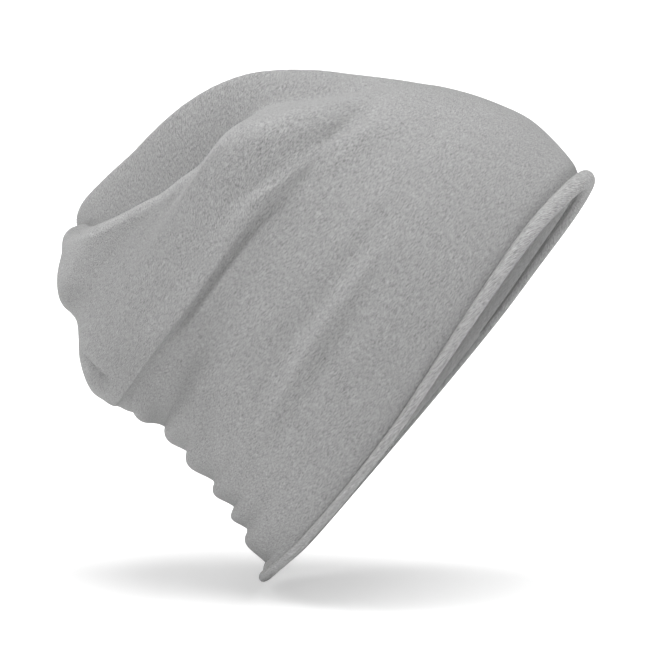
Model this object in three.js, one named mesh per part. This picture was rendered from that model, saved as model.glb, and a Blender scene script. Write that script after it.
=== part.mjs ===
// A slouch beanie in thin jersey, in the form it takes on a tilted head, with a rolled raw edge.
// Millimetres. +X is forward, +Y is the wearer's left, +Z is up. The origin is the middle of the head opening.
// The cap is worked out level, with its opening flat and its crown up, and is tilted at the end.
import * as THREE from 'three';

// Sizes that drive the part
const tiltDegrees = 50.6;          // the forehead is this much higher than the nape
const wallThickness = 2.2;         // one layer of soft jersey
const pieceGap = 0.3;              // between the crown's lower edge and the rolled edge
const girthPerDegree = 1.35;       // distance round the wall for one degree, used to lay out the folds
const roundSteps = 54;             // columns of the wall
const cornerCrowding = 0.3;        // share by which the columns crowd together at the lobes' corners
const rollSides = 9;               // sides of the rolled edge's section
const lowerEdge = 6;               // the wall starts this far up, above the rolled edge
const innerTop = 161;              // the inner face closes here, short of the outer one
const stepWidth = 12;              // from the crest of the far lobe to the foot of its step
const stepPower = 1.3;             // above 1 the crest is rounder and the foot crisper
const wholeFallAt = 0.9;           // the fall grows evenly from a section's back end, -1, to here
const pinch = 1.7;                 // the wall is drawn in this far where the edge rolls up
const pinchWidth = 4;              // and this far up from there

// The wall, a row for each section from the opening to the closed end of the crown.
// up: distance along the wall from the opening. frontX, frontZ and backX, backZ: the section's two ends.
// near, far: half widths to the wearer's right and left. egg: how much wider the back is than the front.
// topNear, topFar, lowNear, lowFar: how square the section is on each side, from 2 for an ellipse.
// step, foot: the height of the step from the far lobe down to the near one, and where its foot lies.
// shelf: how much further the near lobe falls towards its edge.
const sectionColumns = ['up', 'frontX', 'frontZ', 'backX', 'backZ', 'near', 'far', 'egg',
  'topNear', 'topFar', 'lowNear', 'lowFar', 'step', 'foot', 'shelf'];
const sectionRows = [
  [2, 104, 2, -105, 2, 73, 73, 0.06, 2.05, 2.05, 2.05, 2.05, 0, 2, 0],
  [12, 106, 12, -98, 12, 76, 76, 0.06, 2.05, 2.05, 2.05, 2.05, 0, 2, 0],
  [24, 107.8, 24, -92, 24, 78, 78, 0.05, 2.05, 2.05, 2.05, 2.05, 0, 2, 0],
  [37, 108, 37, -88, 37, 78.5, 78.5, 0.03, 2.05, 2.05, 2.05, 2.05, 0, 2, 0],
  [50, 104.5, 50, -86, 50, 78, 78, 0.02, 2.1, 2.1, 2.05, 2.05, 0, 2, 0],
  [63, 99.2, 63.5, -84.5, 62, 76.5, 76.5, 0, 2.15, 2.15, 2.05, 2.05, 0, 2, 0],
  [75, 92.2, 76.5, -83.5, 74, 74.5, 74.5, -0.02, 2.25, 2.2, 2.1, 2.1, 0, 2, 0],
  [86, 84, 90, -84, 83, 73.5, 73, -0.01, 2.6, 2.2, 3.4, 2.2, 3, -4, 1],
  [95, 75.5, 103, -83, 90.5, 72.5, 72.5, 0, 5, 2.2, 5, 2.3, 8, -4, 1.5],
  [103, 66.5, 116.5, -82.5, 96, 72, 72, 0, 9, 2.2, 5.8, 2.4, 12, -4, 3],
  [110, 56, 129, -79.5, 102, 71, 71, 0, 12, 2.25, 6, 2.5, 14, -4, 5],
  [116, 46, 138, -75, 108, 70, 69.5, 0, 11, 2.3, 6, 2.5, 19, -4, 5.5],
  [122, 33, 145.3, -69, 113.5, 69, 67.5, 0, 12, 2.3, 5.8, 2.5, 25, -4, 5],
  [128, 18.5, 150.2, -65, 118, 68, 64.5, 0, 12, 2.3, 5.4, 2.5, 27.5, -4, 3],
  [134, 4, 152.7, -64, 122, 67, 60.5, 0, 11, 2.3, 5, 2.4, 27.5, -4, 2],
  [140, -9.5, 154.2, -64, 126, 66, 56, 0, 9, 2.25, 4.6, 2.3, 24, -3, 1],
  [147, -25.5, 157, -62, 130.5, 62.5, 50, 0, 9, 2.2, 4, 2.2, 19, -1, 1],
  [154, -40.2, 158.7, -58.5, 135.5, 51.5, 42, 0, 7, 2.1, 3.2, 2.1, 14, 2, 1.5],
  [160, -48.6, 157, -57.5, 138.5, 37.5, 35, 0, 4.4, 2, 2.6, 2.1, 9, 6, 2],
  [166, -52.8, 151.8, -57, 140.5, 22, 24, 0, 2.5, 2, 2.2, 2, 3.5, 10, 1],
  [171, -56.5, 146.5, -58, 142, 6, 7, 0, 2, 2, 2, 2, 0, 11, 0],
];

// How far the lower edge dips below a level line, by the angle round from the forehead, on each side
const edgeColumns = ['angle', 'near', 'far'];
const edgeRows = [
  [0, -0.5, -0.5],
  [20, -0.4, -1.6],
  [40, -1.3, -3],
  [57, -4.6, -4.1],
  [75, -9, -5.7],
  [95, -13.2, -6.5],
  [110, -14, -6.8],
  [130, -12.7, -6.9],
  [150, -9.5, -6.7],
  [168, -6.8, -6.4],
  [180, -6.2, -6.2],
];
const edgeReach = 70;              // the dip of the edge has faded out this far up the wall

// Folds of the wall. line: the places that each runs through, as the angle round from the forehead and the
// distance up the wall. height: how far it stands out, or in if negative. above, below: its half width on
// each side. slip: how far its cloth hangs down over the line, with half widths of its own.
// start, end: the shares of its length over which it begins and dies away.
const foldColumns = ['name', 'line', 'height', 'above', 'below', 'slip', 'slipAbove', 'slipBelow',
  'start', 'end'];
const foldRows = [
  ['lip over the ear', [[33, 65], [41, 74], [51, 82], [57, 85], [64, 87.5], [69, 90], [77, 91.5], [92, 92]],
    2.6, 3.8, 7, 0, 1, 1, 0.3, 0.35],
  ['lobe edge', [[68, 86], [76, 89.5], [91, 89.5], [107, 89], [120, 89.5], [134, 90], [146, 92], [160, 94]],
    1, 6, 2.6, 2.2, 8, 3, 0.15, 0.3],
  ['tuck under the lobe', [[66, 81], [76, 85], [91, 85.3], [120, 85], [134, 86], [146, 88], [158, 90]],
    -2.8, 2.4, 4, 0, 1, 1, 0.2, 0.35],
  ['hollow under the lobe', [[104, 81], [122, 81], [136, 82], [150, 83.5]],
    -3.4, 3.5, 7, 0, 1, 1, 0.45, 0.4],
  ['long side ridge', [[64, 43], [88, 42], [112, 38.5], [130, 38], [152, 37]], 1.6, 4, 4, 0, 1, 1, 0.25, 0.3],
  ['dip under the side ridge', [[78, 39.5], [101, 35], [128, 33]], -1.4, 3, 4, 0, 1, 1, 0.3, 0.3],
  ['nape groove', [[120, 63], [130, 57.5], [140, 51.5], [154, 44]], -1.6, 4, 4, 0, 1, 1, 0.35, 0.3],
  ['far lobe edge', [[200, 92], [222, 90.5], [245, 90], [268, 88], [290, 85]], 2, 14, 4, 2, 9, 5, 0.4, 0.4],
  ['tuck under the far lobe', [[200, 85], [222, 83], [245, 82], [268, 80.5], [292, 79]],
    -3.5, 5, 10, 0, 1, 1, 0.4, 0.4],
  ['far side ridge', [[226, 38], [262, 43], [292, 47]], 1.8, 6, 6, 0, 1, 1, 0.45, 0.45],
];
const stepsPerSpan = 4;            // straight steps that a fold's line is measured on, between two places

// Gathers stacked up the nape. cusp: the place up the wall where each begins. swell: how far it stands out.
const gatherColumns = ['cusp', 'swell'];
const gatherRows = [
  [-4, 3],
  [9, 3.5],
  [21, 3.6],
  [30, 3.6],
  [41, 3.6],
  [56, 2.8],
  [69, 3],
  [83, 0],
];
const gatherMiddle = 172;          // the angle at the middle of the gathers
const gatherReach = 14;            // degrees each side of it over which they keep their height
const gatherSpread = 14;           // and over which they then die away
const gatherSag = 1.9;             // above 1 the fullest part of a gather lies towards its upper end
const gatherRound = 0.7;
const gatherSamples = [0, 0.3, 0.6, 0.85];

// The rolled edge by the angle round from the forehead: the roll's radius, and how far it stands out
const rollColumns = ['angle', 'radius', 'standOut'];
const rollRows = [
  [0, 3.6, 5.6],
  [22, 3.3, 4.6],
  [45, 3, 3.9],
  [66, 2.7, 3.3],
  [100, 2.2, 2.7],
  [135, 2, 2],
  [160, 2.2, 1.8],
  [180, 2.6, 2.2],
  [200, 2.2, 2],
  [245, 2, 2.4],
  [290, 2.5, 3],
  [330, 3.2, 4.3],
  [360, 3.6, 5.6],
];

// Heights of the crown's rows above the gathers
const upperRows = [85.5, 88, 90.5, 93.5, 97, 101, 106, 111, 116, 121, 126,
  131, 136, 141, 146, 151, 156, 160.5, 165, 168.5, 171];

function asRecords(columns, rows) {
  return rows.map((row) => Object.fromEntries(columns.map((name, i) => [name, row[i]])));
}

const sections = asRecords(sectionColumns, sectionRows);
const edgeTable = asRecords(edgeColumns, edgeRows);
const folds = asRecords(foldColumns, foldRows);
const gathers = asRecords(gatherColumns, gatherRows);
const rolls = asRecords(rollColumns, rollRows);

// A smooth curve through one column of a table
function readCurve(table, keyName, valueName, key) {
  const last = table.length - 1;
  let i = 0;
  while (i < last - 1 && key >= table[i + 1][keyName]) {
    i += 1;
  }
  const slopeBetween = (k) => {
    const rise = table[k + 1][valueName] - table[k][valueName];
    return rise / (table[k + 1][keyName] - table[k][keyName]);
  };
  const slopeAt = (k) => {
    if (k === 0) {
      return slopeBetween(0);
    }
    if (k === last) {
      return slopeBetween(last - 1);
    }
    const before = table[k][keyName] - table[k - 1][keyName];
    const after = table[k + 1][keyName] - table[k][keyName];
    return (slopeBetween(k - 1) * after + slopeBetween(k) * before) / (before + after);
  };
  const step = table[i + 1][keyName] - table[i][keyName];
  const t = (key - table[i][keyName]) / step;
  const t2 = t * t;
  const t3 = t2 * t;
  return (2 * t3 - 3 * t2 + 1) * table[i][valueName] + (t3 - 2 * t2 + t) * step * slopeAt(i)
    + (3 * t2 - 2 * t3) * table[i + 1][valueName] + (t3 - t2) * step * slopeAt(i + 1);
}

function ease(value) {
  const t = Math.min(1, Math.max(0, value));
  return t * t * (3 - 2 * t);
}

function edgeDip(angle) {
  const around = ((angle % 360) + 360) % 360;
  if (around <= 180) {
    return readCurve(edgeTable, 'angle', 'near', around);
  }
  return readCurve(edgeTable, 'angle', 'far', 360 - around);
}

function sectionAt(up) {
  const s = {};
  for (const name of sectionColumns) {
    s[name] = readCurve(sections, 'up', name, up);
  }
  return s;
}

// The wall without its folds. The angle runs from the forehead round the wearer's right side.
function plainWall(up, angle) {
  const s = sectionAt(up);
  const ahead = sectionAt(up + 1);
  const behind = sectionAt(up - 1);
  const turn = THREE.MathUtils.degToRad(angle);
  const forward = Math.cos(turn);
  const sideways = Math.sin(turn);
  const halfX = (s.frontX - s.backX) / 2;
  const halfZ = (s.frontZ - s.backZ) / 2;
  const top = sideways >= 0 ? s.topNear : s.topFar;
  const low = sideways >= 0 ? s.lowNear : s.lowFar;
  const square = low + (top - low) * ease(forward + 0.5);
  const width = sideways >= 0 ? s.near : s.far;
  const reach = (Math.abs(forward) ** square + Math.abs(sideways) ** square) ** (-1 / square);
  const y = -width * reach * sideways * (1 - s.egg * forward);
  const along = reach * forward;
  // The near lobe lies lower than the far one, square to the line of the crown
  const runX = ahead.frontX - behind.frontX;
  const runZ = ahead.frontZ - behind.frontZ;
  const run = Math.max(Math.hypot(runX, runZ), 1e-6);
  const onStep = THREE.MathUtils.clamp((s.foot + stepWidth - y) / stepWidth, 0, 1);
  const shelfShare = THREE.MathUtils.clamp((s.foot - y) / (s.foot + s.near), 0, 1);
  const fallShare = THREE.MathUtils.clamp((along + 1) / (1 + wholeFallAt), 0, 1);
  const fallen = (s.step * onStep ** stepPower + s.shelf * shelfShare) * fallShare;
  const dip = edgeDip(angle) * ease(1 - up / edgeReach);
  return new THREE.Vector3(
    (s.frontX + s.backX) / 2 + halfX * along - (runZ / run) * fallen,
    y,
    (s.frontZ + s.backZ) / 2 + halfZ * along + (runX / run) * fallen + dip,
  );
}

// The straight steps of a fold's line, in mm round and mm up the wall
function layOutLine(fold) {
  const places = fold.line.map(([angle, up], i) => ({ i, round: angle * girthPerDegree, up }));
  const steps = stepsPerSpan * (places.length - 1);
  const points = [];
  for (let i = 0; i <= steps; i += 1) {
    const at = i / stepsPerSpan;
    points.push(new THREE.Vector2(readCurve(places, 'i', 'round', at), readCurve(places, 'i', 'up', at)));
  }
  return points;
}

for (const fold of folds) {
  fold.steps = layOutLine(fold);
}

// Distance from a fold's line, positive above it, and the share of its length at the nearest place
function placeOnFold(fold, up, angle) {
  const point = new THREE.Vector2(angle * girthPerDegree, up);
  const last = fold.steps.length - 1;
  let nearest = Infinity;
  let found = { distance: 0, share: 0 };
  for (let i = 0; i < last; i += 1) {
    const run = fold.steps[i + 1].clone().sub(fold.steps[i]);
    const offset = point.clone().sub(fold.steps[i]);
    const t = THREE.MathUtils.clamp(offset.dot(run) / run.lengthSq(), 0, 1);
    const away = offset.clone().addScaledVector(run, -t).length();
    if (away < nearest) {
      nearest = away;
      found = { distance: Math.sign(run.cross(offset)) * away, share: (i + t) / last };
    }
  }
  return found;
}

// How far the nape gathers stand out at a place on the wall
function gatherSwell(up, angle) {
  const beyond = Math.max(Math.abs(angle - gatherMiddle) - gatherReach, 0);
  const spread = Math.exp(-((beyond / gatherSpread) ** 2));
  for (let i = 0; i < gathers.length - 1; i += 1) {
    const t = (up - gathers[i].cusp) / (gathers[i + 1].cusp - gathers[i].cusp);
    if (t > 0 && t < 1) {
      return gathers[i].swell * spread * Math.sin(Math.PI * t ** gatherSag) ** gatherRound;
    }
  }
  return 0;
}

// A point of the wall with its folds, at a depth in from the outer face
function wallPoint(up, angle, depth) {
  const small = 0.4;
  const upStep = plainWall(up + small, angle).sub(plainWall(up - small, angle));
  const aroundStep = plainWall(up, angle + small).sub(plainWall(up, angle - small));
  const outward = upStep.clone().cross(aroundStep).normalize();
  const upward = upStep.normalize();
  let height = gatherSwell(up, angle) - depth;
  height -= pinch * Math.exp(-(((up - lowerEdge) / pinchWidth) ** 2));
  let slip = 0;
  for (const fold of folds) {
    const place = placeOnFold(fold, up, angle);
    const strength = ease(place.share / fold.start) * ease((1 - place.share) / fold.end);
    const width = place.distance > 0 ? fold.above : fold.below;
    const slipWidth = place.distance > 0 ? fold.slipAbove : fold.slipBelow;
    height += fold.height * strength * Math.exp(-((place.distance / width) ** 2));
    slip += fold.slip * strength * Math.exp(-((place.distance / slipWidth) ** 2));
  }
  return plainWall(up, angle).addScaledVector(outward, height).addScaledVector(upward, -slip);
}

// The angle of a column, in degrees: the columns crowd together towards the corners of the lobes
function columnAngle(i) {
  const turn = (i / roundSteps) * Math.PI * 2;
  return THREE.MathUtils.radToDeg(turn + (cornerCrowding / 4) * Math.sin(4 * turn));
}

// Heights of the wall's rows: each nape gather is met at the same few places, then the crown above
function wallRows() {
  const rows = [];
  for (let i = 0; i < gathers.length - 1; i += 1) {
    const span = gathers[i + 1].cusp - gathers[i].cusp;
    for (const share of gatherSamples) {
      rows.push(gathers[i].cusp + span * share);
    }
  }
  rows.push(gathers[gathers.length - 1].cusp);
  return [lowerEdge, ...rows.filter((up) => up > lowerEdge + 1), ...upperRows];
}

// Joins rings of points, from the first to the last, into triangles that face out
function joinRings(rings, faces, flip) {
  for (let row = 0; row < rings.length - 1; row += 1) {
    const count = rings[row].length;
    for (let i = 0; i < count; i += 1) {
      const next = (i + 1) % count;
      const a = rings[row][i];
      const b = rings[row][next];
      const c = rings[row + 1][next];
      const d = rings[row + 1][i];
      faces.push(...(flip ? [a, c, b, a, d, c] : [a, b, c, a, c, d]));
    }
  }
}

function closeRing(ring, tip, faces, flip) {
  ring.forEach((point, i) => {
    const next = ring[(i + 1) % ring.length];
    faces.push(...(flip ? [point, tip, next] : [point, next, tip]));
  });
}

function bodyFromFaces(points, faces) {
  const geometry = new THREE.BufferGeometry();
  geometry.setAttribute('position', new THREE.Float32BufferAttribute(points.flatMap((p) => p.toArray()), 3));
  geometry.setIndex(faces);
  geometry.computeVertexNormals();
  return geometry;
}

function ringMiddle(ring, points) {
  const middle = new THREE.Vector3();
  ring.forEach((i) => middle.add(points[i]));
  return middle.divideScalar(ring.length);
}

function makeCrown() {
  const points = [];
  const faces = [];
  const skin = (depth, rows) => rows.map((up) => {
    const ring = [];
    for (let i = 0; i < roundSteps; i += 1) {
      ring.push(points.length);
      points.push(wallPoint(up, columnAngle(i), depth));
    }
    return ring;
  });
  const rows = wallRows();
  const outer = skin(0, rows);
  const inner = skin(wallThickness, rows.filter((up) => up < innerTop));
  joinRings(outer, faces, true);
  joinRings(inner, faces, false);
  joinRings([outer[0], inner[0]], faces, false);
  for (const [rings, flip] of [[outer, true], [inner, false]]) {
    const lastRing = rings[rings.length - 1];
    points.push(ringMiddle(lastRing, points));
    closeRing(lastRing, points.length - 1, faces, flip);
  }
  return bodyFromFaces(points, faces);
}

// The raw edge rolled up on the outside: its section hugs the lower edge of the wall
function makeRolledRim() {
  const points = [];
  const faces = [];
  const rings = [];
  for (let i = 0; i < roundSteps; i += 1) {
    const angle = columnAngle(i);
    const radius = readCurve(rolls, 'angle', 'radius', angle);
    const standOut = readCurve(rolls, 'angle', 'standOut', angle);
    const edge = wallPoint(lowerEdge, angle, wallThickness / 2);
    const outward = wallPoint(lowerEdge, angle, 0).sub(edge).normalize();
    const upward = wallPoint(lowerEdge + 1, angle, wallThickness / 2).sub(edge).normalize();
    const aside = wallThickness / 2 + standOut - radius;
    const centre = edge.addScaledVector(outward, aside).addScaledVector(upward, -radius - pieceGap);
    const ring = [];
    for (let side = 0; side < rollSides; side += 1) {
      const turn = (side / rollSides) * Math.PI * 2;
      ring.push(points.length);
      points.push(centre.clone()
        .addScaledVector(outward, radius * Math.cos(turn))
        .addScaledVector(upward, radius * Math.sin(turn)));
    }
    rings.push(ring);
  }
  joinRings([...rings, rings[0]], faces, false);
  return bodyFromFaces(points, faces);
}

const jersey = new THREE.MeshStandardMaterial({ color: 0xa6a6a6, roughness: 0.95, metalness: 0 });
const jerseyReverse = new THREE.MeshStandardMaterial({ color: 0xb0b0b0, roughness: 0.95, metalness: 0 });

const crown = new THREE.Mesh(makeCrown(), jersey);
crown.name = 'crown';
const rolledRim = new THREE.Mesh(makeRolledRim(), jerseyReverse);
rolledRim.name = 'rolled_rim';

const cap = new THREE.Group();
cap.add(crown, rolledRim);
cap.rotation.y = -THREE.MathUtils.degToRad(tiltDegrees);
const beanie = new THREE.Group();
beanie.add(cap);

export default beanie;
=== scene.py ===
import math

import bpy
import numpy as np
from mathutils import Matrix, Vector


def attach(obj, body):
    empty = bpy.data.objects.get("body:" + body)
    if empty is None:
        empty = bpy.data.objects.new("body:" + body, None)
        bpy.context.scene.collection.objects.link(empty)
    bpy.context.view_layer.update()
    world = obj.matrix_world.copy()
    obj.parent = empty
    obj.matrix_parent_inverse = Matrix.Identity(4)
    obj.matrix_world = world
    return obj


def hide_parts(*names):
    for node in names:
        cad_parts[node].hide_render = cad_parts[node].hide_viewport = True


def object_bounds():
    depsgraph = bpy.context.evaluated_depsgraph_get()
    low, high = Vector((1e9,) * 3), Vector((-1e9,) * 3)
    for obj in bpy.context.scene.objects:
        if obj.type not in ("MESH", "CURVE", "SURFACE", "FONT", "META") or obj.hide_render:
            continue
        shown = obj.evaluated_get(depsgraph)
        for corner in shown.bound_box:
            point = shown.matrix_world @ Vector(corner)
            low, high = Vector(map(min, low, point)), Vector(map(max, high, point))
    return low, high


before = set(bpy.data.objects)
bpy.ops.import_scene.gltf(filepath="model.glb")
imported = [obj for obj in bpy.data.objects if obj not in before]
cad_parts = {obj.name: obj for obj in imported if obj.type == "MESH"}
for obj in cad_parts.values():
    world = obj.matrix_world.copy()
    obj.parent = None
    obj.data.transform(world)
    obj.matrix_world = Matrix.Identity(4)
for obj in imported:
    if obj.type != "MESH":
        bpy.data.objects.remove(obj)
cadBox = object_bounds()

# A slouch beanie in grey melange jersey.
# The cap is worked out level, in millimetres, and tilted at the end.

mm = 0.001
scene = bpy.context.scene
bpy.ops.object.select_all(action="DESELECT")
print("frame loaded")


# Camera, light and floor

cameraSetup = {
    "azimuth": 12.0,          # degrees round from the wearer's right
    "elevation": 6.0,
    "distance": 1.5,
    "target": (-0.042, 0.0, 0.022),
    "viewWidth": 0.264,       # metres across the picture at the target
    "sensor": 36.0,
    "nearest": 0.01,          # metres, nothing closer is drawn
}

lights = {
    # name: azimuth, elevation, strength, width in degrees
    "topRightLight": (60.0, 70.0, 2.8, 60.0),
    "topLeftLight": (-60.0, 77.0, 0.8, 50.0),
    "leftLight": (-80.0, 25.0, 1.4, 50.0),
    "frontLight": (14.0, 4.0, 0.3, 60.0),
}

studio = {
    "floorGap": 0.001,        # below the lowest point of the cap
    "floorSize": 40.0,
    "floorTone": 0.9,
    "floorRoughness": 0.9,
    "floorGloss": 0.0,
    "floorLift": 0.32,        # evens out the shadow that shows on the floor
    "white": (1.0, 1.0, 1.0, 1.0),
    "worldLight": 0.06,
    "worldShown": 1.0,
    "exposure": 0.0,
}


def directionFrom(azimuth, elevation):
    turn, rise = math.radians(azimuth), math.radians(elevation)
    return Vector((math.sin(turn) * math.cos(rise), -math.cos(turn) * math.cos(rise), math.sin(rise)))


def aimAt(thing, place, target):
    thing.location = place
    thing.rotation_euler = (target - place).to_track_quat("-Z", "Y").to_euler()


def makeCamera():
    target = Vector(cameraSetup["target"])
    toCamera = directionFrom(cameraSetup["azimuth"], cameraSetup["elevation"])
    bpy.ops.object.camera_add()
    camera = bpy.context.object
    aimAt(camera, target + toCamera * cameraSetup["distance"], target)
    camera.data.sensor_width = cameraSetup["sensor"]
    camera.data.lens = cameraSetup["sensor"] * cameraSetup["distance"] / cameraSetup["viewWidth"]
    camera.data.clip_start = cameraSetup["nearest"]
    scene.camera = camera


def seenDirectly(tree, shown, lighting):
    # a strength with one value where the surface is looked at and another where it lights the room
    path = tree.nodes.new("ShaderNodeLightPath")
    strength = tree.nodes.new("ShaderNodeMapRange")
    strength.inputs["To Min"].default_value = lighting
    strength.inputs["To Max"].default_value = shown
    tree.links.new(path.outputs["Is Camera Ray"], strength.inputs["Value"])
    return strength.outputs["Result"]


def makeLights():
    target = Vector(cameraSetup["target"])
    for name, (azimuth, elevation, strength, width) in lights.items():
        bpy.ops.object.light_add(type="SUN")
        lamp = bpy.context.object
        lamp.name = name
        lamp.data.energy = strength
        lamp.data.angle = math.radians(width)
        aimAt(lamp, target + directionFrom(azimuth, elevation), target)
    world = bpy.data.worlds.new("studio")
    world.use_nodes = True
    background = world.node_tree.nodes["Background"]
    background.inputs["Color"].default_value = studio["white"]
    world.node_tree.links.new(seenDirectly(world.node_tree, studio["worldShown"], studio["worldLight"]),
                              background.inputs["Strength"])
    scene.world = world
    scene.view_settings.view_transform = "Standard"
    scene.view_settings.exposure = studio["exposure"]


def makeFloor():
    level = cadBox[0][2] - studio["floorGap"]
    bpy.ops.mesh.primitive_plane_add(size=studio["floorSize"], location=(0.0, 0.0, level))
    floor = bpy.context.object
    floor.name = "floor"
    material = bpy.data.materials.new("floorPaper")
    material.use_nodes = True
    shader = material.node_tree.nodes["Principled BSDF"]
    tone = studio["floorTone"]
    shader.inputs["Base Color"].default_value = (tone, tone, tone, 1.0)
    shader.inputs["Roughness"].default_value = studio["floorRoughness"]
    shader.inputs["Specular IOR Level"].default_value = studio["floorGloss"]
    shader.inputs["Emission Color"].default_value = studio["white"]
    material.node_tree.links.new(seenDirectly(material.node_tree, studio["floorLift"], 0.0),
                                 shader.inputs["Emission Strength"])
    floor.data.materials.append(material)


makeCamera()
makeLights()
makeFloor()
print("camera, lights and floor placed")


# The form of the cap, from the sizes of the CAD wall.
# Here the near lobe's crest is crisper, and there are more of the small folds.

capForm = {
    "tiltDegrees": 50.6,
    "wall": 2.2,
    "lowerEdge": 6.0,
    "upperEnd": 171.0,
    "closeOver": 3.0,          # the last rows close over the end of the crown
    "stepWidth": 12.0,         # from the crest of the far lobe to the foot of its step
    "stepPower": 1.3,          # above 1 the crest is rounder and the foot crisper
    "wholeFallAt": 0.9,        # the fall grows evenly from the section's back end, -1, to here
    "topFrom": -0.5,           # where along the section the squareness starts to turn from low to top
    "runStep": 1.0,            # how far off a section the next one is read, to find how the wall runs
    "foldSteps": 4,            # between two points of a fold's line
    "pinch": 1.7,              # the wall is drawn in where the edge rolls up
    "pinchWidth": 4.0,
    "girthPerDegree": 1.35,
    "edgeReach": 70.0,
    "gatherMiddle": 172.0,
    "gatherReach": 14.0,
    "gatherSpread": 14.0,
    "gatherSag": 1.9,
    "gatherRound": 0.7,
}

# up; front end x, z; back end x, z; half width near, far; egg; squareness top near, top far, low near,
# low far; the step down to the near lobe and where its foot lies, and the further fall to the lobe's edge
sectionColumns = ("up", "frontX", "frontZ", "backX", "backZ", "near", "far", "egg",
                  "topNear", "topFar", "lowNear", "lowFar", "step", "foot", "shelf")
sectionRows = (
    (2, 104, 2, -105, 2, 73, 73, 0.06, 2.05, 2.05, 2.05, 2.05, 0, 2, 0),
    (12, 106, 12, -98, 12, 76, 76, 0.06, 2.05, 2.05, 2.05, 2.05, 0, 2, 0),
    (24, 107.8, 24, -92, 24, 78, 78, 0.05, 2.05, 2.05, 2.05, 2.05, 0, 2, 0),
    (37, 108, 37, -88, 37, 78.5, 78.5, 0.03, 2.05, 2.05, 2.05, 2.05, 0, 2, 0),
    (50, 104.5, 50, -86, 50, 78, 78, 0.02, 2.1, 2.1, 2.05, 2.05, 0, 2, 0),
    (63, 99.2, 63.5, -84.5, 62, 76.5, 76.5, 0, 2.15, 2.15, 2.05, 2.05, 0, 2, 0),
    (75, 92.2, 76.5, -83.5, 74, 74.5, 74.5, -0.02, 2.25, 2.2, 2.1, 2.1, 0, 2, 0),
    (86, 84, 90, -84, 83, 73.5, 73, -0.01, 2.6, 2.2, 3.4, 2.2, 3, -4, 1),
    (95, 75.5, 103, -83, 90.5, 72.5, 72.5, 0, 5, 2.2, 5, 2.3, 8, -4, 1.5),
    (103, 66.5, 116.5, -82.5, 96, 72, 72, 0, 9, 2.2, 5.8, 2.4, 12, -4, 3),
    (110, 56, 129, -79.5, 102, 71, 71, 0, 12, 2.25, 6, 2.5, 14, -4, 5),
    (116, 46, 138, -75, 108, 70, 69.5, 0, 14, 2.3, 6, 2.5, 19, -4, 5.5),
    (122, 33, 145.3, -69, 113.5, 69, 67.5, 0, 18, 2.3, 5.8, 2.5, 25, -4, 5),
    (128, 18.5, 150.2, -65, 118, 68, 64.5, 0, 20, 2.3, 5.4, 2.5, 27.5, -4, 3),
    (134, 4, 152.7, -64, 122, 67, 60.5, 0, 20, 2.3, 5, 2.4, 27.5, -4, 2),
    (140, -9.5, 154.2, -64, 126, 66, 56, 0, 16, 2.25, 4.6, 2.3, 24, -3, 1),
    (147, -25.5, 157, -62, 130.5, 62.5, 50, 0, 11, 2.2, 4, 2.2, 19, -1, 1),
    (154, -40.2, 158.7, -58.5, 135.5, 51.5, 42, 0, 7, 2.1, 3.2, 2.1, 14, 2, 1.5),
    (160, -48.6, 157, -57.5, 138.5, 37.5, 35, 0, 4.4, 2, 2.6, 2.1, 9, 6, 2),
    (166, -52.8, 151.8, -57, 140.5, 22, 24, 0, 2.5, 2, 2.2, 2, 3.5, 10, 1),
    (171, -56.5, 146.5, -58, 142, 6, 7, 0, 2, 2, 2, 2, 0, 11, 0),
)

# dip of the lower edge, by the angle round from the forehead, on the near and the far side
edgeColumns = ("angle", "near", "far")
edgeRows = (
    (0, -0.5, -0.5),
    (20, -0.4, -1.6),
    (40, -1.3, -3.0),
    (57, -4.6, -4.1),
    (75, -9, -5.7),
    (95, -13.2, -6.5),
    (110, -14, -6.8),
    (130, -12.7, -6.9),
    (150, -9.5, -6.7),
    (168, -6.8, -6.4),
    (180, -6.2, -6.2),
)

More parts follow.
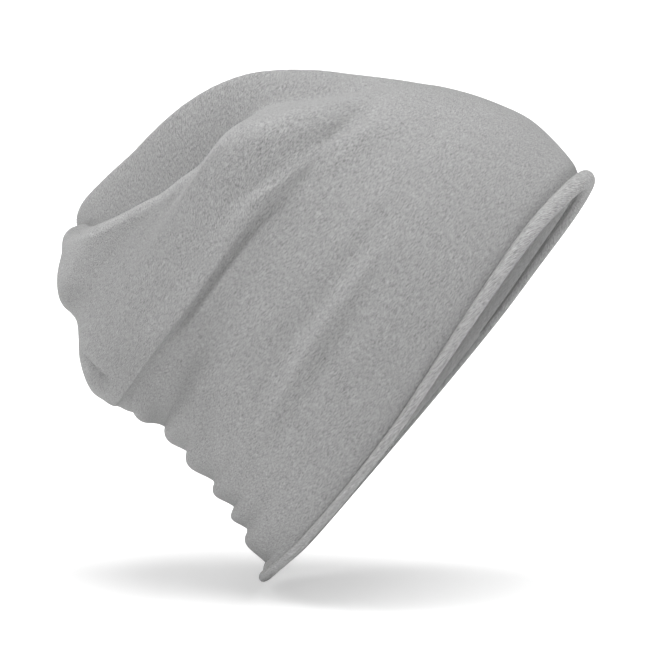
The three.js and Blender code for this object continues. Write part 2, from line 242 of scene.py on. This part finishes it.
# a fold's line as angles and heights up the wall, its height, its half width above and below, how far its
# cloth hangs over with the half widths of that, and the shares of its length over which it starts and ends
foldColumns = ("line", "height", "above", "below", "slip", "slipAbove", "slipBelow", "start", "end")
folds = {
    "lip": (((33, 65), (41, 74), (51, 82), (57, 85), (64, 87.5), (69, 90), (77, 91.5), (92, 92)),
            2.6, 3.8, 7, 0, 1, 1, 0.3, 0.35),
    "lobeEdge": (((68, 86), (76, 89.5), (91, 89.5), (107, 89), (120, 89.5), (134, 90), (146, 92), (160, 94)),
                 1, 6, 2.2, 2.2, 8, 2.6, 0.15, 0.3),
    "lobeTuck": (((66, 81), (76, 85), (91, 85.3), (107, 84.8), (120, 85), (134, 86), (146, 88), (158, 90)),
                 -2.3, 1.9, 2.8, 0, 1, 1, 0.2, 0.35),
    "lobeHollow": (((104, 81), (122, 81), (136, 82), (150, 83.5)), -3.4, 3.5, 7, 0, 1, 1, 0.45, 0.4),
    "endPinch": (((18, 160), (26, 156), (35, 151), (44, 146)), -1, 1.5, 1.5, 0, 1, 1, 0.3, 0.4),
    "longRidge": (((64, 43), (76, 43.5), (88, 42), (100, 41), (112, 38.5), (130, 38), (152, 37)),
                  1.7, 3.4, 2.8, 0, 1, 1, 0.22, 0.3),
    "longDipOver": (((70, 52), (88, 49), (100, 48.5), (113, 45.5), (126, 43)), -1, 4, 3, 0, 1, 1, 0.3, 0.3),
    "longDipUnder": (((78, 39.5), (90, 39), (101, 37.5), (115, 36.5), (128, 36.5)),
                     -1.4, 2.5, 4, 0, 1, 1, 0.3, 0.3),
    "templeRidge": (((50, 59), (62, 56), (72, 54), (86, 53)), 0.8, 4, 3, 0, 1, 1, 0.4, 0.4),
    "lowRidge": (((68, 28), (83, 29), (96, 30), (110, 29.5)), 0.7, 3, 3, 0, 1, 1, 0.4, 0.4),
    "napeGroove": (((120, 63), (130, 57.5), (140, 51.5), (154, 44)), -1.6, 3, 3, 0, 1, 1, 0.35, 0.3),
    "napeRidge": (((128, 65), (138, 59), (150, 53)), 0.8, 3, 3, 0, 1, 1, 0.4, 0.4),
    "cornerCrease": (((134, 117), (131, 110), (130, 103), (131, 95)), -1.7, 1.3, 1.5, 0, 1, 1, 0.3, 0.2),
    "cornerRidge": (((136, 110), (135, 102), (135, 91)), 1.2, 3.5, 3.5, 0, 1, 1, 0.4, 0.4),
    "farLobeEdge": (((200, 92), (222, 90.5), (245, 90), (268, 88), (290, 85)), 2, 14, 4, 2, 9, 5, 0.4, 0.4),
    "farLobeTuck": (((200, 85), (222, 83), (245, 82), (268, 80.5), (292, 79)),
                    -3.5, 5, 10, 0, 1, 1, 0.4, 0.4),
    "farSideRidge": (((226, 38), (262, 43), (292, 47)), 1.8, 6, 6, 0, 1, 1, 0.45, 0.45),
}

# cusps up the nape and how far the gather above each stands out
gathers = ((-4, 3), (9, 3.5), (21, 3.6), (30, 3.6), (41, 3.6), (56, 2.8), (69, 3), (83, 0))


def readCurve(keys, values, at):
    # smooth curve through a table's column
    keys, values = np.asarray(keys, float), np.asarray(values, float)
    gaps = np.diff(keys)
    slopes = np.diff(values) / gaps
    bend = np.empty_like(values)
    bend[0], bend[-1] = slopes[0], slopes[-1]
    bend[1:-1] = (slopes[:-1] * gaps[1:] + slopes[1:] * gaps[:-1]) / (gaps[:-1] + gaps[1:])
    i = np.clip(np.searchsorted(keys, at, side="right") - 1, 0, len(gaps) - 1)
    t = (at - keys[i]) / gaps[i]
    return ((2 * t**3 - 3 * t**2 + 1) * values[i] + (t**3 - 2 * t**2 + t) * gaps[i] * bend[i]
            + (3 * t**2 - 2 * t**3) * values[i + 1] + (t**3 - t**2) * gaps[i] * bend[i + 1])


def ease(value):
    t = np.clip(value, 0.0, 1.0)
    return t * t * (3.0 - 2.0 * t)


def unit(vectors):
    return vectors / np.maximum(np.linalg.norm(vectors, axis=-1, keepdims=True), 1e-9)


def edgeDip(angle):
    around = np.mod(angle, 360.0)
    edge = dict(zip(edgeColumns, np.array(edgeRows, float).T))
    side = np.where(around <= 180.0, around, 360.0 - around)
    return np.where(around <= 180.0, readCurve(edge["angle"], edge["near"], side),
                    readCurve(edge["angle"], edge["far"], side))


def sectionAt(up):
    table = dict(zip(sectionColumns, np.array(sectionRows, float).T))
    at = np.minimum(up, capForm["upperEnd"])
    return {name: readCurve(table["up"], values, at) for name, values in table.items()}


def plainWall(up, angle):
    # the wall without its folds; the angle runs from the forehead round the wearer's right
    here = sectionAt(up)
    ahead, behind = sectionAt(up + capForm["runStep"]), sectionAt(up - capForm["runStep"])
    forward, sideways = np.cos(np.radians(angle)), np.sin(np.radians(angle))
    middleX, middleZ = (here["frontX"] + here["backX"]) / 2, (here["frontZ"] + here["backZ"]) / 2
    halfX, halfZ = (here["frontX"] - here["backX"]) / 2, (here["frontZ"] - here["backZ"]) / 2
    top = np.where(sideways >= 0, here["topNear"], here["topFar"])
    low = np.where(sideways >= 0, here["lowNear"], here["lowFar"])
    square = low + (top - low) * ease(forward - capForm["topFrom"])
    width = np.where(sideways >= 0, here["near"], here["far"])
    reach = (np.abs(forward) ** square + np.abs(sideways) ** square) ** (-1 / square)
    y = -width * reach * sideways * (1 - here["egg"] * forward)
    along = reach * forward
    # the near lobe lies lower than the far one, square to the line of the crown
    runX, runZ = ahead["frontX"] - behind["frontX"], ahead["frontZ"] - behind["frontZ"]
    run = np.maximum(np.hypot(runX, runZ), 1e-6)
    onStep = np.clip((here["foot"] + capForm["stepWidth"] - y) / capForm["stepWidth"], 0.0, 1.0)
    fallen = here["step"] * onStep ** capForm["stepPower"]
    fallen += here["shelf"] * np.clip((here["foot"] - y) / (here["foot"] + here["near"]), 0.0, 1.0)
    fallen *= np.clip((along + 1.0) / (1.0 + capForm["wholeFallAt"]), 0.0, 1.0)
    closing = np.clip((up - capForm["upperEnd"]) / capForm["closeOver"], 0.0, 1.0)
    shrink = np.sqrt(1.0 - closing**2)
    dip = edgeDip(angle) * ease(1 - up / capForm["edgeReach"])
    return np.stack([middleX + halfX * along * shrink - runZ / run * fallen,
                     y * shrink,
                     middleZ + halfZ * along * shrink + runX / run * fallen + dip], -1)


def placeOnFold(line, up, angle):
    # distance from a fold's line, positive above it, and the share of its length there
    girth = capForm["girthPerDegree"]
    angles, ups = np.array(line, float).T
    steps = capForm["foldSteps"] * (len(line) - 1)
    places = np.linspace(0.0, len(line) - 1, steps + 1)
    lineX = readCurve(np.arange(len(line)), angles * girth, places)
    lineY = readCurve(np.arange(len(line)), ups, places)
    x, y = angle * girth, up
    nearest = np.full(x.shape, np.inf)
    distance, share = np.zeros(x.shape), np.zeros(x.shape)
    for i in range(steps):
        runX, runY = lineX[i + 1] - lineX[i], lineY[i + 1] - lineY[i]
        offX, offY = x - lineX[i], y - lineY[i]
        t = np.clip((offX * runX + offY * runY) / (runX**2 + runY**2), 0, 1)
        away = np.hypot(offX - t * runX, offY - t * runY)
        closer = away < nearest
        nearest = np.where(closer, away, nearest)
        distance = np.where(closer, np.sign(runX * offY - runY * offX) * away, distance)
        share = np.where(closer, (i + t) / steps, share)
    return distance, share


def gatherSwell(up, angle):
    swell = np.zeros(up.shape)
    for (low, height), (high, _) in zip(gathers, gathers[1:]):
        t = np.clip((up - low) / (high - low), 0.0, 1.0)
        swell += height * np.sin(np.pi * t ** capForm["gatherSag"]) ** capForm["gatherRound"]
    beyond = np.maximum(np.abs(angle - capForm["gatherMiddle"]) - capForm["gatherReach"], 0.0)
    return swell * np.exp(-((beyond / capForm["gatherSpread"]) ** 2))


def wallPoints(up, angle, depth):
    # points of the wall with its folds, at a depth in from the outer face
    small = 0.4
    upStep = plainWall(up + small, angle) - plainWall(up - small, angle)
    aroundStep = plainWall(up, angle + small) - plainWall(up, angle - small)
    outward = unit(np.cross(upStep, aroundStep))
    upward = unit(upStep)
    height = gatherSwell(up, angle) - depth
    height -= capForm["pinch"] * np.exp(-(((up - capForm["lowerEdge"]) / capForm["pinchWidth"]) ** 2))
    slip = np.zeros(up.shape)
    for row in folds.values():
        fold = dict(zip(foldColumns, row))
        distance, share = placeOnFold(fold["line"], up, angle)
        strength = ease(share / fold["start"]) * ease((1 - share) / fold["end"])
        width = np.where(distance > 0, fold["above"], fold["below"])
        slipWidth = np.where(distance > 0, fold["slipAbove"], fold["slipBelow"])
        height += fold["height"] * strength * np.exp(-((distance / width) ** 2))
        slip += fold["slip"] * strength * np.exp(-((distance / slipWidth) ** 2))
    return plainWall(up, angle) + outward * height[..., None] - upward * slip[..., None]


def asWorn(points):
    # tilts level points in millimetres into the worn place, in metres
    turn = math.radians(capForm["tiltDegrees"])
    x, y, z = np.moveaxis(points, -1, 0)
    return np.stack([x * math.cos(turn) - z * math.sin(turn), y,
                     x * math.sin(turn) + z * math.cos(turn)], -1) * mm


# Jersey: grey and pale fibres spun together, in streaks along the courses, over knitted stitches

jerseys = {
    "jerseyFace": {
        "tone": 0.345,            # middle of the melange
        "spread": 0.8,            # how far streaks go from it, as a share
        "streak": (0.0016, 0.00017),  # metres along and across a course
        "fleck": (0.00029, 0.00018),
        "fleckShare": 1.1,
        "cloud": 0.012,           # size of faint lighter and darker patches
        "cloudSpread": 0.02,
        "wales": 820,             # stitches round the cap
        "course": 0.00055,
        "stitchSlant": 0.8,
        "stitchHeight": 0.00012,
        "fibreHeight": 0.00014,
        # painted shade of the stitches: darker in the grooves, lighter on the legs
        "stitchShade": 0.03,
        "purl": 0.0,
    },
    "jerseyInside": {
        "tone": 0.66,             # painted light: paler than the face, standing in for light coming through the thin jersey
        "spread": 0.3,
        "streak": (0.0022, 0.0004),
        "fleck": (0.0008, 0.0004),
        "fleckShare": 0.7,
        "cloud": 0.012,
        "cloudSpread": 0.02,
        "wales": 820,
        "course": 0.00055,
        "stitchSlant": 0.0,
        "stitchHeight": 0.00016,
        "fibreHeight": 0.00010,
        # painted shade of the stitches: darker in the grooves, lighter on the legs
        "stitchShade": 0.06,
        "purl": 1.0,
    },
    "jerseyReverse": {
        "tone": 0.40,
        "spread": 0.7,
        "streak": (0.0022, 0.00034),
        "fleck": (0.0007, 0.0003),
        "fleckShare": 0.7,
        "cloud": 0.010,
        "cloudSpread": 0.02,
        "wales": 820,
        "course": 0.0008,
        "stitchSlant": 0.0,
        "stitchHeight": 0.00030,
        "fibreHeight": 0.00025,
        # painted shade of the stitches: darker in the grooves, lighter on the legs
        "stitchShade": 0.12,
        "purl": 1.0,
    },
}

# what the three jerseys share
jerseyFinish = {
    "streakDetail": 1.0,
    "fleckDetail": 2.0,
    "cloudDetail": 1.0,
    "rippleShare": 0.5,       # of the slanted legs, against the groove between two stitches
    "bump": 0.6,
    "roughness": 0.92,
    "roughnessSpread": 0.1,
    "gloss": 0.15,
    "sheen": 0.12,
    "sheenRoughness": 0.5,
}


def makeJersey(name):
    look = jerseys[name]
    material = bpy.data.materials.new(name)
    material.use_nodes = True
    nodes, links = material.node_tree.nodes, material.node_tree.links
    shader = nodes["Principled BSDF"]

    def mathNode(operation, first, second=None, third=None):
        node = nodes.new("ShaderNodeMath")
        node.operation = operation
        for socket, value in zip(node.inputs, (first, second, third)):
            if value is None:
                continue
            if isinstance(value, (int, float)):
                socket.default_value = value
            else:
                links.new(value, socket)
        return node.outputs["Value"]

    def noiseAt(place, along, across, detail):
        # noise drawn out along the courses, from -0.5 to 0.5
        stretch = nodes.new("ShaderNodeMapping")
        stretch.inputs["Scale"].default_value = (1 / along, 1 / along, 1 / across)
        noise = nodes.new("ShaderNodeTexNoise")
        noise.inputs["Scale"].default_value = 1.0
        noise.inputs["Detail"].default_value = detail
        links.new(place, stretch.inputs["Vector"])
        links.new(stretch.outputs["Vector"], noise.inputs["Vector"])
        return mathNode("SUBTRACT", noise.outputs["Fac"], 0.5)

    cloth = nodes.new("ShaderNodeAttribute")
    cloth.attribute_name = "cloth"
    place = cloth.outputs["Vector"]
    parts = nodes.new("ShaderNodeSeparateXYZ")
    links.new(place, parts.inputs["Vector"])

    streaks = noiseAt(place, *look["streak"], jerseyFinish["streakDetail"])
    flecks = noiseAt(place, *look["fleck"], jerseyFinish["fleckDetail"])
    clouds = noiseAt(place, look["cloud"], look["cloud"], jerseyFinish["cloudDetail"])
    melange = mathNode("MULTIPLY_ADD", flecks, look["fleckShare"], streaks)

    # one stitch: two slanted legs on the face, a low bump on the reverse
    turn = mathNode("ARCTAN2", parts.outputs["Y"], parts.outputs["X"])
    wale = mathNode("FRACT", mathNode("MULTIPLY", turn, look["wales"] / (2 * math.pi)))
    fromMiddle = mathNode("ABSOLUTE", mathNode("SUBTRACT", wale, 0.5))
    course = mathNode("MULTIPLY", parts.outputs["Z"], 1 / look["course"])
    legs = mathNode("MULTIPLY_ADD", fromMiddle, 2 * look["stitchSlant"], course)
    ripple = mathNode("SINE", mathNode("MULTIPLY", legs, 2 * math.pi))
    groove = mathNode("SINE", mathNode("MULTIPLY", fromMiddle, 2 * math.pi))
    if look["purl"]:
        narrowing = mathNode("SUBTRACT", 1.0, mathNode("MULTIPLY", fromMiddle, look["purl"]))
        stitch = mathNode("MULTIPLY", ripple, narrowing)
    else:
        stitch = mathNode("MULTIPLY_ADD", ripple, jerseyFinish["rippleShare"], groove)

    shade = mathNode("MULTIPLY_ADD", melange, 2 * look["spread"], 1.0)
    shade = mathNode("MULTIPLY_ADD", clouds, 2 * look["cloudSpread"], shade)
    # painted shade: the stitch ripple darkens the grooves between the legs and lightens the legs, following
    # the bump
    shade = mathNode("MULTIPLY_ADD", stitch, look["stitchShade"], shade)
    tone = mathNode("MULTIPLY", shade, look["tone"])
    colour = nodes.new("ShaderNodeCombineColor")
    for channel in ("Red", "Green", "Blue"):
        links.new(tone, colour.inputs[channel])
    links.new(colour.outputs["Color"], shader.inputs["Base Color"])

    height = mathNode("MULTIPLY", stitch, look["stitchHeight"] / 2)
    height = mathNode("MULTIPLY_ADD", melange, look["fibreHeight"], height)
    bump = nodes.new("ShaderNodeBump")
    bump.inputs["Distance"].default_value = 1.0
    bump.inputs["Strength"].default_value = jerseyFinish["bump"]
    links.new(height, bump.inputs["Height"])
    links.new(bump.outputs["Normal"], shader.inputs["Normal"])

    roughness = mathNode("MULTIPLY_ADD", melange, jerseyFinish["roughnessSpread"],
                         jerseyFinish["roughness"])
    links.new(roughness, shader.inputs["Roughness"])
    shader.inputs["Specular IOR Level"].default_value = jerseyFinish["gloss"]
    shader.inputs["Sheen Weight"].default_value = jerseyFinish["sheen"]
    shader.inputs["Sheen Roughness"].default_value = jerseyFinish["sheenRoughness"]
    return material


# Crown: a knitted tube laid out flat as a grid, then shaped to the worn form

crown = {
    "columns": 330,
    "rows": 240,
    "innerColumns": 165,
    "innerRows": 90,
    "innerTop": 161.0,        # the inner face closes here, short of the outer one
    "tuckedIn": 1.6,          # how far the wall runs on into the rolled edge
    "denseAt": 88.0,          # rows lie closer together round the edge of the near lobe
    "denseWidth": 9.0,
    "denseGain": 2.5,
    "girth": 0.575,           # metres of cloth round the cap
    "lobeSlant": 0.35,        # how far the courses are pulled askew on the lobes
    "slantMiddle": 95.0,      # degrees round, where they are pulled most
    "slantFrom": 65.0,        # where up the wall that begins, and over what length it grows
    "slantOver": 50.0,
    "angleSamples": 721,      # fine places round a section and up the forehead line, for spacing the grid
    "upSamples": 800,
    "weldWithin": 1e-6,
    "smoothAngle": 60.0,
}

tubeRadius = crown["girth"] / (2 * math.pi)


def evenAngles(up, columns):
    # angles for each row that share the cloth out evenly round the section
    fine = np.linspace(0.0, 360.0, crown["angleSamples"])
    points = plainWall(up[:, None], fine[None, :])
    steps = np.linalg.norm(np.diff(points, axis=1), axis=-1)
    length = np.concatenate([np.zeros((len(up), 1)), np.cumsum(steps, axis=1)], axis=1)
    share = np.linspace(0.0, 1.0, columns + 1)
    return np.stack([np.interp(share * row[-1], row, fine) for row in length])


def upwardRows(count, top):
    # rows spaced by the length of the forehead line, and closer at the lobe's edge
    fine = np.linspace(capForm["lowerEdge"] - crown["tuckedIn"], top, crown["upSamples"])
    points = plainWall(fine, np.full(fine.shape, 0.0))
    middle = (fine[1:] + fine[:-1]) / 2
    gain = 1 + crown["denseGain"] * np.exp(-((middle - crown["denseAt"]) / crown["denseWidth"]) ** 2)
    steps = np.linalg.norm(np.diff(points, axis=0), axis=-1) + np.diff(fine) * gain
    length = np.concatenate([[0.0], np.cumsum(steps)])
    return np.interp(np.linspace(0.0, 1.0, count + 1) * length[-1], length, fine)


def pointsOf(piece):
    flat = np.empty(len(piece.data.vertices) * 3)
    piece.data.vertices.foreach_get("co", flat)
    return flat.reshape(-1, 3)


def layCloth(piece, turn, along):
    # where each point lies on the tube as it was knitted, which the jersey's pattern follows
    places = np.stack([tubeRadius * np.cos(turn), tubeRadius * np.sin(turn), along], -1)
    cloth = piece.data.attributes.new("cloth", "FLOAT_VECTOR", "POINT")
    cloth.data.foreach_set("vector", places.ravel())


def makeSkin(name, columns, rows, depth, top):
    bpy.ops.mesh.primitive_grid_add(x_subdivisions=columns, y_subdivisions=rows, size=1.0)
    skin = bpy.context.object
    skin.name = name
    flat = pointsOf(skin)
    column = np.rint((flat[:, 0] + 0.5) * columns).astype(int)
    row = np.rint((flat[:, 1] + 0.5) * rows).astype(int)
    ups = upwardRows(rows, top)
    angles = evenAngles(ups, columns)
    grid = wallPoints(np.repeat(ups[:, None], columns + 1, axis=1), angles, depth)
    grid[:, -1] = grid[:, 0]
    grid[-1] = grid[-2].mean(axis=0)
    worn = asWorn(grid)[row, column]
    skin.data.vertices.foreach_set("co", worn.ravel())
    turn = 2 * np.pi * column / columns
    alongSteps = np.linalg.norm(np.diff(grid, axis=0), axis=-1).mean(axis=1)
    alongRows = np.concatenate([[0.0], np.cumsum(alongSteps)]) * mm
    askew = crown["lobeSlant"] * ease((ups[row] - crown["slantFrom"]) / crown["slantOver"])
    pulled = np.sin(2 * (turn - math.radians(crown["slantMiddle"])))
    layCloth(skin, turn, alongRows[row] + askew * tubeRadius * pulled / 2)
    bpy.ops.object.mode_set(mode="EDIT")
    bpy.ops.mesh.select_all(action="SELECT")
    bpy.ops.mesh.remove_doubles(threshold=crown["weldWithin"])
    bpy.ops.mesh.normals_make_consistent(inside=False)
    bpy.ops.object.mode_set(mode="OBJECT")
    return skin


def makeCrown():
    outer = makeSkin("crownCloth", crown["columns"], crown["rows"], 0.0,
                     capForm["upperEnd"] + capForm["closeOver"])
    outer.data.materials.append(makeJersey("jerseyFace"))
    inner = makeSkin("crownInside", crown["innerColumns"], crown["innerRows"], capForm["wall"],
                     crown["innerTop"])
    # the inner face takes the paler jersey, whose tone is painted light for the light through the cloth
    inner.data.materials.append(makeJersey("jerseyInside"))
    bpy.ops.object.mode_set(mode="EDIT")
    bpy.ops.mesh.select_all(action="SELECT")
    bpy.ops.mesh.flip_normals()
    bpy.ops.object.mode_set(mode="OBJECT")
    outer.select_set(True)
    bpy.context.view_layer.objects.active = outer
    bpy.ops.object.join()
    bpy.ops.object.mode_set(mode="EDIT")
    bpy.ops.mesh.select_mode(type="EDGE")
    bpy.ops.mesh.select_all(action="DESELECT")
    bpy.ops.mesh.select_non_manifold(extend=False, use_wire=False, use_boundary=True, use_multi_face=False,
                                     use_non_contiguous=False, use_verts=False)
    bpy.ops.mesh.bridge_edge_loops()
    bpy.ops.mesh.select_all(action="DESELECT")
    bpy.ops.object.mode_set(mode="OBJECT")
    bpy.ops.object.shade_smooth_by_angle(angle=math.radians(crown["smoothAngle"]))
    return outer


# Rolled rim: the raw edge, curled up on the outside of the wall

rim = {
    "aroundSteps": 480,
    "sides": 32,
    "ringRadius": 1.0,        # of the plain ring that it is shaped from
    "ringThickness": 0.25,
    "overlap": 1.2,           # the roll presses against the lower edge of the wall
    "width": 0.020,           # metres of cloth rolled up
    "slant": 0.4,             # how far the courses wind round the roll
    "smoothAngle": 60.0,
}

# the roll's radius, and how far it stands out past the wall, by the angle round from the forehead
rimColumns = ("angle", "radius", "standOut")
rimRows = (
    (0, 3.6, 5.6),
    (22, 3.3, 4.6),
    (45, 3.0, 3.9),
    (66, 2.7, 3.3),
    (100, 2.2, 2.7),
    (135, 2.0, 2.0),
    (160, 2.2, 1.8),
    (180, 2.6, 2.2),
    (200, 2.2, 2.0),
    (245, 2.0, 2.4),
    (290, 2.5, 3.0),
    (330, 3.2, 4.3),
    (360, 3.6, 5.6),
)


def makeRolledRim():
    bpy.ops.mesh.primitive_torus_add(major_segments=rim["aroundSteps"], minor_segments=rim["sides"],
                                     major_radius=rim["ringRadius"], minor_radius=rim["ringThickness"])
    roll = bpy.context.object
    roll.name = "rolledRim"
    flat = pointsOf(roll)
    angle = np.mod(np.degrees(np.arctan2(flat[:, 1], flat[:, 0])), 360.0)
    side = np.arctan2(flat[:, 2], np.hypot(flat[:, 0], flat[:, 1]) - rim["ringRadius"])
    table = dict(zip(rimColumns, np.array(rimRows, float).T))
    radius = readCurve(table["angle"], table["radius"], angle)
    aside = capForm["wall"] / 2 + readCurve(table["angle"], table["standOut"], angle) - radius
    low = np.full(angle.shape, capForm["lowerEdge"])
    edge = wallPoints(low, angle, capForm["wall"] / 2)
    outward = unit(wallPoints(low, angle, 0.0) - edge)
    upward = unit(wallPoints(low + capForm["runStep"], angle, capForm["wall"] / 2) - edge)
    centre = edge + outward * aside[:, None] - upward * (radius - rim["overlap"])[:, None]
    points = centre + outward * (radius * np.cos(side))[:, None] + upward * (radius * np.sin(side))[:, None]
    roll.data.vertices.foreach_set("co", asWorn(points).ravel())
    turn = np.radians(angle)
    along = side / (2 * np.pi) * rim["width"] + rim["slant"] * tubeRadius * np.abs(np.pi - turn)
    layCloth(roll, turn, along)
    bpy.ops.object.mode_set(mode="EDIT")
    bpy.ops.mesh.select_all(action="SELECT")
    bpy.ops.mesh.normals_make_consistent(inside=False)
    bpy.ops.object.mode_set(mode="OBJECT")
    bpy.ops.object.shade_smooth_by_angle(angle=math.radians(rim["smoothAngle"]))
    return roll


crownPiece = makeCrown()
print("crown made", len(crownPiece.data.polygons))
rimPiece = makeRolledRim()
rimPiece.data.materials.append(makeJersey("jerseyReverse"))
print("rolled rim made", len(rimPiece.data.polygons))

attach(crownPiece, "root")
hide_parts("crown")
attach(rimPiece, "root")
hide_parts("rolled_rim")
